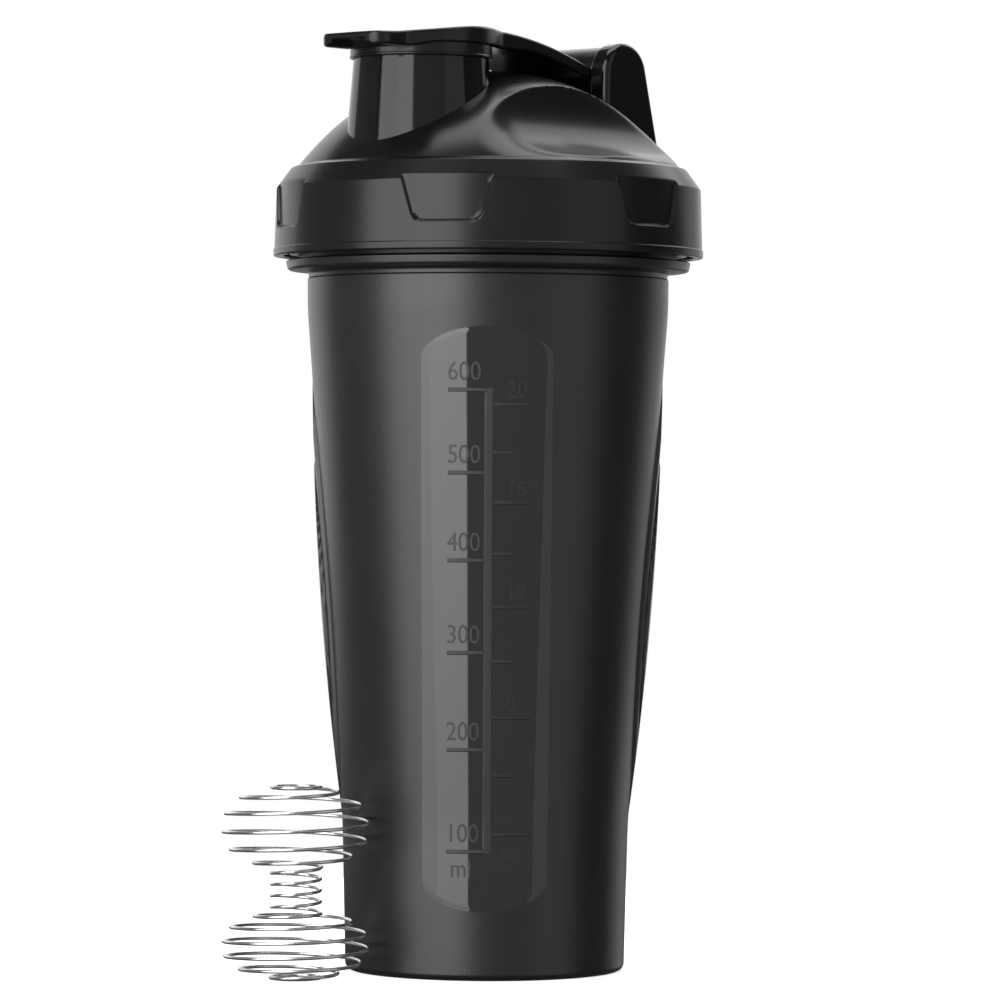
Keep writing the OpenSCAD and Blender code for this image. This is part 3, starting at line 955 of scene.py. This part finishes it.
def dome_z(x, y, ball_r, cut_r):
    """Height of the dome: a ball, with a scoop along each side that is softest by the spout."""
    away = np.clip(ball_r**2 - x * x - y * y, 0, None)
    z = DOME_MID_Z + np.sqrt(away)
    across = np.clip(cut_r**2 - (np.abs(y) - SCOOP_Y) ** 2, 0, None)
    outside = np.clip(np.abs(np.abs(y) - SCOOP_Y) - cut_r, 0, None)
    scoop = SCOOP_Z - np.sqrt(across) + 3 * outside
    softness = 0.9 + 4.2 * smooth((x - 2) / 26)
    return soft_min(z, scoop, softness)


def tube(name, lip_r, low, high, lip_round):
    """A solid cone about the spout's axis, a little narrower towards its lip."""
    foot_r = lip_r + SPOUT_DRAFT * (SPOUT_Z - low)
    top_r = lip_r + SPOUT_DRAFT * (SPOUT_Z - high)
    outline = rounded(
        [(0, low, 0), (foot_r, low, 0), (top_r, high, lip_round), (0, high, 0)], 6
    )
    return to_spout(lathe(name, filled(outline, 2), 160))


def ear(side, top_r):
    """One hinge ear: a round top, a sloping back and a rounded outer rim."""
    slope = math.radians(14.8)
    foot_z = 197.8
    rim_y, rim_r = 16.65, 1.8
    levels = [(13.1, 0.4), (13.25, 0.12), (13.5, 0)]
    for a in np.linspace(0, math.pi / 2, 7):
        levels.append((rim_y + rim_r * math.sin(a), rim_r * (1 - math.cos(a))))
    loops = []
    for y, inset in levels:
        radius = top_r - inset
        loop = about_hinge(radius, np.linspace(0, math.pi - slope, 40))
        back_x, back_z = loop[-1]
        loop.append((back_x - (back_z - foot_z) * math.tan(slope), foot_z))
        loop.append((-HINGE_X + radius, foot_z))
        loops.append([(x, side * y, z) for x, z in loop])
    if side > 0:
        loops = [loop[::-1] for loop in loops]
    return loft("ear", loops, HEADING)


def pivot(side, radius, near, far):
    """A short cylinder on the hinge's axis."""
    circle = about_hinge(radius, np.linspace(0, 2 * math.pi, 48, endpoint=False)[::-side])
    loops = [[(x, side * y, z) for x, z in circle] for y in (near, far)]
    return loft("pivot", loops, HEADING)


# ---------------------------------------------------------------- flip cap and seals


class SHAKER_OT_flip_cap(bpy.types.Operator):
    """Loft the flip cap from its thumb tab to its hinge, with its skirt, boss and knuckle"""

    bl_idname = "shaker.flip_cap"
    bl_label = "Flip cap"

    under_z = 226.5
    corner = 4.0
    crest_x = 16
    joint_z = 227.6
    knuckle_r = 7.35

    def execute(self, context):
        cap = context.scene.shaker_cap
        stations = np.concatenate(
            [
                np.linspace(-25.5, cap.tab_x - self.corner - 0.5, 115),
                cap.tab_x - self.corner * (1 - np.cos(np.linspace(math.pi / 2, 0, 18))),
            ]
        )
        obj = loft("flip_cap_body", [self.section(cap, x) for x in stations], HEADING)
        section = [
            (17.3, 223.5), (17.45, 223.7), (17.45, 224.0), (17.3, 224.2),
            (17.3, self.joint_z), (16.72, self.joint_z), (16.72, 223.5),
        ]
        skirt = to_spout(lathe("skirt", section, 160, closed=True))
        boss = tube("boss", 11.3, 224.6, self.joint_z, 0)
        parts = [skirt, boss, self.knuckle(cap), pivot(1, 3, 12, 15.95), pivot(-1, 3, 12, 15.95)]
        cut_or_join(obj, parts, "UNION")
        hand_over(obj, satin_plastic(), "lid_plastic", "flip_cap", "flip_cap")
        return {"FINISHED"}

    def half_width(self, cap, x):
        """Half the cap's width at a station: a disc between a tab and an arm."""
        disc = math.sqrt(max(cap.disc_r**2 - (x - SPOUT_X) ** 2, 0))
        end = self.corner - min(cap.tab_x - x, self.corner)
        tab = cap.tab_w - self.corner + math.sqrt(max(self.corner**2 - end**2, 0))
        band = tab if x > SPOUT_X else cap.arm_w
        return -float(soft_min(-disc, -band, 5))

    def section(self, cap, x):
        """One closed loop across the cap: a rounded bar with a thumb hollow under the tab."""
        half = self.half_width(cap, x)
        if x > self.crest_x:
            top = CAP_TOP_Z - 2.5 * float(smooth((x - 20) / 31))
            under = self.under_z - 1.15 * float(smooth((x - 34) / 8))
        else:
            top = CAP_TOP_Z - (x - self.crest_x) ** 2 / 230
            under = min(self.under_z, top - 3.2)
        edge = min(1.0, (top - under) * 0.45)
        flat, low, high = half - edge, under + edge, top - edge
        hollow = 2.1 * float(smooth((x - 42) / 5))
        across = np.linspace(-1, 1, 25) * flat
        loop = [(y, under + hollow * smooth(1.6 * (1 - abs(y / 7.8) ** 1.6))) for y in across]
        loop += arc(flat, low, edge, -75, -15) + arc(flat, high, edge, 0, 75)
        loop += [(y, top - 0.25 * (y / 18) ** 2) for y in -across]
        loop += arc(-flat, high, edge, 105, 180) + arc(-flat, low, edge, 195, 255)
        middle = (top + under) / 2
        tip = math.sqrt(max(1 - (1 - min((cap.tab_x - x) / 0.6, 1)) ** 2, 0.3))
        return [(x, y, middle + (z - middle) * tip) for y, z in loop]

    def knuckle(self, cap):
        """The barrel between the ears, with rounded ends."""
        turns = np.linspace(0, 2 * math.pi, 96, endpoint=False)[::-1]
        loops = []
        for y, inset in ((-1, 0.7), (-0.985, 0.2), (-0.96, 0), (0.96, 0), (0.985, 0.2), (1, 0.7)):
            circle = about_hinge(self.knuckle_r - inset, turns)
            loops.append([(x, y * cap.arm_w, z) for x, z in circle])
        return loft("knuckle", loops, HEADING)


class SHAKER_OT_seals(bpy.types.Operator):
    """Turn the spout's plug with its two lips, and the ring that seals the cup's rim"""

    bl_idname = "shaker.seals"
    bl_label = "Seals"

    def execute(self, context):
        outer = rounded(
            [
                (0, 223.4, 0), (12.6, 223.4, 0.6), (13.4, 224.3, 0.3), (13.1, 224.8, 0.3),
                (13.6, 225.6, 0.3), (13.3, 226.2, 0.3), (13.75, 227.05, 0.2), (12.5, 227.05, 0),
            ], 4
        )
        inner = rounded(
            [(12.5, 227.05, 0), (11.4, 227.05, 0.1), (11.4, 224.55, 0.1), (0, 224.55, 0)], 3
        )
        obj = to_spout(lathe("spout_plug", np.concatenate([outer[:-1], inner]), 160))
        hand_over(obj, silicone(), "silicone", "flip_cap", "spout_seal")
        low, high = RIM_Z + 0.05, 196.35
        section = rounded(
            [
                (45, low, 0), (46, low, 0.5), (46, high, 0.5),
                (43.78, high, 0.5), (43.78, low, 0.5), (45, low, 0),
            ], 4
        )[:-1]
        obj = lathe("rim_seal", section, 192, closed=True)
        hand_over(obj, silicone(), "silicone", "seal_ring", "lid_gasket")
        return {"FINISHED"}


# ---------------------------------------------------------------- wire mixer


class SHAKER_OT_mixer(bpy.types.Operator):
    """Coil the mixer's wire into two balls with a neck between them"""

    bl_idname = "shaker.mixer"
    bl_label = "Wire mixer"

    ring_turns = 0.92
    points_per_turn = 60
    share = {"low": 15.6, "neck": 11.0, "high": 19.4}

    def execute(self, context):
        mixer = context.scene.shaker_mixer
        last = 2 * mixer.ball_turns + mixer.coil_turns + self.ring_turns
        turns = np.arange(-self.ring_turns, last, 1 / self.points_per_turn)
        points = [self.wire_at(mixer, turn) for turn in turns]
        curve = bpy.data.curves.new("wire_mixer_path", "CURVE")
        curve.dimensions = "3D"
        spline = curve.splines.new("POLY")
        spline.points.add(len(points) - 1)
        for point, at in zip(spline.points, points):
            point.co = (*(np.array(at) * MM), 1)
        obj = bpy.data.objects.new("wire_mixer_coil", curve)
        context.scene.collection.objects.link(obj)
        values = {"Radius": mixer.wire / 2 * MM, "Sides": 12, "Material": drawn_wire()}
        set_inputs(obj.modifiers.new("wire", "NODES"), wire_along_path(), values)
        context.view_layer.update()
        mesh = bpy.data.meshes.new_from_object(obj.evaluated_get(context.evaluated_depsgraph_get()))
        bpy.data.curves.remove(curve)
        obj = bpy.data.objects.new("wire_mixer_coil", mesh)
        context.scene.collection.objects.link(obj)
        hand_over(obj, None, "stainless_wire", "mixer", "wire_mixer", angle=50)
        return {"FINISHED"}

    def wire_at(self, mixer, turn):
        """A point on the wire's path, a number of turns up from the lower ring."""
        low_z = MIXER_LOW.z + mixer.wire / 2
        low_h, neck_h, high_h = (self.share[part] for part in ("low", "neck", "high"))
        neck_turn = mixer.ball_turns + mixer.coil_turns
        spans = (
            (0, mixer.ball_turns, low_z, low_h, True),
            (mixer.ball_turns, mixer.coil_turns, low_z + low_h, neck_h, False),
            (neck_turn, mixer.ball_turns, low_z + low_h + neck_h, high_h, True),
        )
        radius, z = mixer.coil_r, low_z
        for first, count, base, height, ball in spans:
            t = min(max((turn - first) / count, 0), 1)
            if turn > first:
                wave = math.sin(math.pi * t)
                bulge = (wave + math.sin(math.pi / 2 * wave)) / 2
                radius = mixer.coil_r + (mixer.ball_r - mixer.coil_r) * bulge * ball
                eased = (t + (1 - math.cos(math.pi * t)) / 2) / 2
                z = base + height * (eased if ball else t)
        angle = math.pi + 2 * math.pi * turn
        middle = (MIXER_LOW + MIXER_HIGH) / 2
        return middle.x + radius * math.cos(angle), middle.y + radius * math.sin(angle), z


def wire_along_path():
    """Geometry nodes: a round wire along a curve, with closed ends."""
    tree = bpy.data.node_groups.new("Wire along path", "GeometryNodeTree")
    socket(tree, "Geometry", "INPUT", kind="NodeSocketGeometry")
    socket(tree, "Radius", "INPUT", 0.0005)
    socket(tree, "Sides", "INPUT", 12, "NodeSocketInt")
    socket(tree, "Material", "INPUT", None, "NodeSocketMaterial")
    socket(tree, "Geometry", "OUTPUT", kind="NodeSocketGeometry")
    link = tree.links.new
    inside, outside, section, sweep, real, paint = nodes_of(
        tree, "NodeGroupInput", "NodeGroupOutput", "GeometryNodeCurvePrimitiveCircle",
        "GeometryNodeCurveToMesh", "GeometryNodeRealizeInstances", "GeometryNodeSetMaterial",
    )
    link(inside.outputs["Sides"], section.inputs["Resolution"])
    link(inside.outputs["Radius"], section.inputs["Radius"])
    link(inside.outputs["Geometry"], sweep.inputs["Curve"])
    link(section.outputs["Curve"], sweep.inputs["Profile Curve"])
    sweep.inputs["Fill Caps"].default_value = True
    link(sweep.outputs["Mesh"], real.inputs["Geometry"])
    link(real.outputs["Geometry"], paint.inputs["Geometry"])
    link(inside.outputs["Material"], paint.inputs["Material"])
    link(paint.outputs["Geometry"], outside.inputs["Geometry"])
    return tree


# ---------------------------------------------------------------- stage


class SHAKER_OT_stage(bpy.types.Operator):
    """Set the pale floor, the backdrop, the soft lights and the camera"""

    bl_idname = "shaker.stage"
    bl_label = "Stage, lights and camera"

    def execute(self, context):
        stage = context.scene.shaker_stage
        self.floor()
        self.backdrop(stage)
        softbox("left_softbox", -40, 0.6, 0.32, size=(0.61, 1.25), power=6.4, fade=0.4)
        softbox("right_softbox", 56, 0.6, 0.32, size=(0.4, 1.25), power=0.64)
        softbox("front_fill", 0, 0.9, 0.3, size=(1.4, 1.3), power=1.4)
        softbox("left_fill", -100, 0.8, 0.3, size=(0.8, 1.0), power=0.3)
        softbox("top_light", 180, 0.15, 0.95, size=(0.7, 0.5), power=2.8, aim_z=0.13)
        softbox("rear_top_light", 166, 0.67, 0.73, size=(0.9, 0.45), power=1.6, aim_z=0.13)
        softbox("white_wall", -164, 1.1, 0.45, size=(1.78, 0.9), power=4.6)
        softbox("rear_right_softbox", 142, 0.9, 0.35, size=(0.5, 1.1), power=0.8)
        self.camera(stage)
        context.scene.view_settings.view_transform = "Standard"
        return {"FINISHED"}

    def floor(self):
        """A pale disc that glows for the camera alone, with a painted shadow that dims the glow under
        the bottle.
        """
        mesh = bpy.data.meshes.new("floor")
        radius, count = 0.3, 96
        turns = np.linspace(0, 2 * math.pi, count, endpoint=False)
        corners = [(radius * math.cos(a), radius * math.sin(a), 0) for a in turns]
        mesh.from_pydata(corners, [], [list(range(count))])
        floor = bpy.data.objects.new("floor", mesh)
        bpy.context.scene.collection.objects.link(floor)
        floor.visible_glossy = False
        material = bpy.data.materials.new("pale_floor")
        material.use_nodes = True
        tree = material.node_tree
        shader = tree.nodes["Principled BSDF"]
        shader.inputs["Base Color"].default_value = (0.85, 0.85, 0.85, 1)
        shader.inputs["Roughness"].default_value = 0.8
        shader.inputs["Specular IOR Level"].default_value = 0.1
        shader.inputs["Emission Color"].default_value = (1, 1, 1, 1)
        path, place, far, fade, glow_with_painted_shadow = nodes_of(
            tree, "ShaderNodeLightPath", "ShaderNodeTexCoord", "ShaderNodeVectorMath",
            "ShaderNodeMapRange", "ShaderNodeMath",
        )
        far.operation = "LENGTH"
        # Painted shadow: the glow drops to three quarters within 0.05 to 0.16 m of the middle, under the
        # bottle
        fade.inputs["From Min"].default_value = 0.05
        fade.inputs["From Max"].default_value = 0.16
        fade.inputs["To Min"].default_value = 0.75
        fade.inputs["To Max"].default_value = 1
        glow_with_painted_shadow.operation = "MULTIPLY"
        tree.links.new(place.outputs["Object"], far.inputs[0])
        tree.links.new(far.outputs["Value"], fade.inputs["Value"])
        tree.links.new(fade.outputs["Result"], glow_with_painted_shadow.inputs[0])
        tree.links.new(path.outputs["Is Camera Ray"], glow_with_painted_shadow.inputs[1])
        tree.links.new(glow_with_painted_shadow.outputs[0], shader.inputs["Emission Strength"])
        mesh.materials.append(material)

    def backdrop(self, stage):
        """White behind the object, and a dim room for what it reflects."""
        world = bpy.data.worlds.new("studio")
        bpy.context.scene.world = world
        world.use_nodes = True
        tree = world.node_tree
        path, bright, dim, mix = nodes_of(
            tree, "ShaderNodeLightPath", "ShaderNodeBackground", "ShaderNodeBackground",
            "ShaderNodeMixShader",
        )
        bright.inputs["Color"].default_value = (1, 1, 1, 1)
        bright.inputs["Strength"].default_value = stage.backdrop
        dim.inputs["Color"].default_value = (1, 1, 1, 1)
        dim.inputs["Strength"].default_value = 0.07
        tree.links.new(path.outputs["Is Camera Ray"], mix.inputs["Fac"])
        tree.links.new(dim.outputs[0], mix.inputs[1])
        tree.links.new(bright.outputs[0], mix.inputs[2])
        tree.links.new(mix.outputs[0], tree.nodes["World Output"].inputs["Surface"])

    def camera(self, stage):
        """A long lens at the bottle's middle height, a little to the right and rolled a little."""
        right, aim_z, roll = 0.0032, 0.1161, math.radians(-0.32)
        data = bpy.data.cameras.new("camera")
        data.sensor_width = 36
        data.lens = stage.lens
        camera = bpy.data.objects.new("camera", data)
        bpy.context.scene.collection.objects.link(camera)
        camera.location = (right, -stage.distance, stage.eye)
        down = math.atan2(stage.eye - aim_z, stage.distance)
        camera.rotation_mode = "XYZ"
        camera.rotation_euler = (math.pi / 2 - down, roll, 0)
        bpy.context.scene.camera = camera


def softbox(name, azimuth, distance, height, size, power, aim_z=None, fade=0):
    """A soft rectangular light that faces the bottle's axis, level unless it aims at a height.

    It can fade towards its lower edge, over a share of its height.
    """
    data = bpy.data.lights.new(name, "AREA")
    data.shape = "RECTANGLE"
    data.size, data.size_y = size
    data.energy = power
    light = bpy.data.objects.new(name, data)
    bpy.context.scene.collection.objects.link(light)
    light.visible_camera = False
    turn = math.radians(azimuth)
    light.location = (distance * math.sin(turn), -distance * math.cos(turn), height)
    aim = Vector((0, 0, height if aim_z is None else aim_z)) - light.location
    light.rotation_euler = aim.to_track_quat("-Z", "Y").to_euler()
    if fade:
        fade_light(data, fade)


def fade_light(data, share):
    """Dims a light towards its lower edge."""
    data.use_nodes = True
    tree = data.node_tree
    place, parts, level = nodes_of(
        tree, "ShaderNodeNewGeometry", "ShaderNodeSeparateXYZ", "ShaderNodeMapRange"
    )
    level.inputs["From Max"].default_value = share
    level.inputs["To Min"].default_value = 0.25
    tree.links.new(place.outputs["Parametric"], parts.inputs[0])
    tree.links.new(parts.outputs["Y"], level.inputs["Value"])
    tree.links.new(level.outputs["Result"], tree.nodes["Emission"].inputs["Strength"])


# ---------------------------------------------------------------- add-on


class SHAKER_PT_panel(bpy.types.Panel):
    """Lists the bottle's settings and the steps that build it"""

    bl_idname = "SHAKER_PT_panel"
    bl_label = "Shaker Bottle"
    bl_space_type = "VIEW_3D"
    bl_region_type = "UI"
    bl_category = "Shaker"

    def draw(self, context):
        for name in GROUPS:
            group = getattr(context.scene, name)
            box = self.layout.box()
            for prop in group.bl_rna.properties:
                if prop.identifier not in ("rna_type", "name"):
                    box.prop(group, prop.identifier)
        for step in STEPS:
            self.layout.operator(step.bl_idname)


GROUPS = {
    "shaker_cup": CupSettings,
    "shaker_lid": LidSettings,
    "shaker_cap": CapSettings,
    "shaker_mixer": MixerSettings,
    "shaker_finish": FinishSettings,
    "shaker_stage": StageSettings,
}
STEPS = (
    SHAKER_OT_stage,
    SHAKER_OT_cup,
    SHAKER_OT_window,
    SHAKER_OT_grips,
    SHAKER_OT_collar,
    SHAKER_OT_dome,
    SHAKER_OT_flip_cap,
    SHAKER_OT_seals,
    SHAKER_OT_mixer,
)


def register():
    for group in (*GROUPS.values(), *STEPS, SHAKER_PT_panel):
        bpy.utils.register_class(group)
    for name, group in GROUPS.items():
        setattr(bpy.types.Scene, name, PointerProperty(type=group))


def unregister():
    for name in GROUPS:
        delattr(bpy.types.Scene, name)
    for group in reversed((*GROUPS.values(), *STEPS, SHAKER_PT_panel)):
        bpy.utils.unregister_class(group)


def main():
    register()
    for step in STEPS:
        area, name = step.bl_idname.split(".")
        getattr(getattr(bpy.ops, area), name)()


if __name__ == "__main__":
    main()
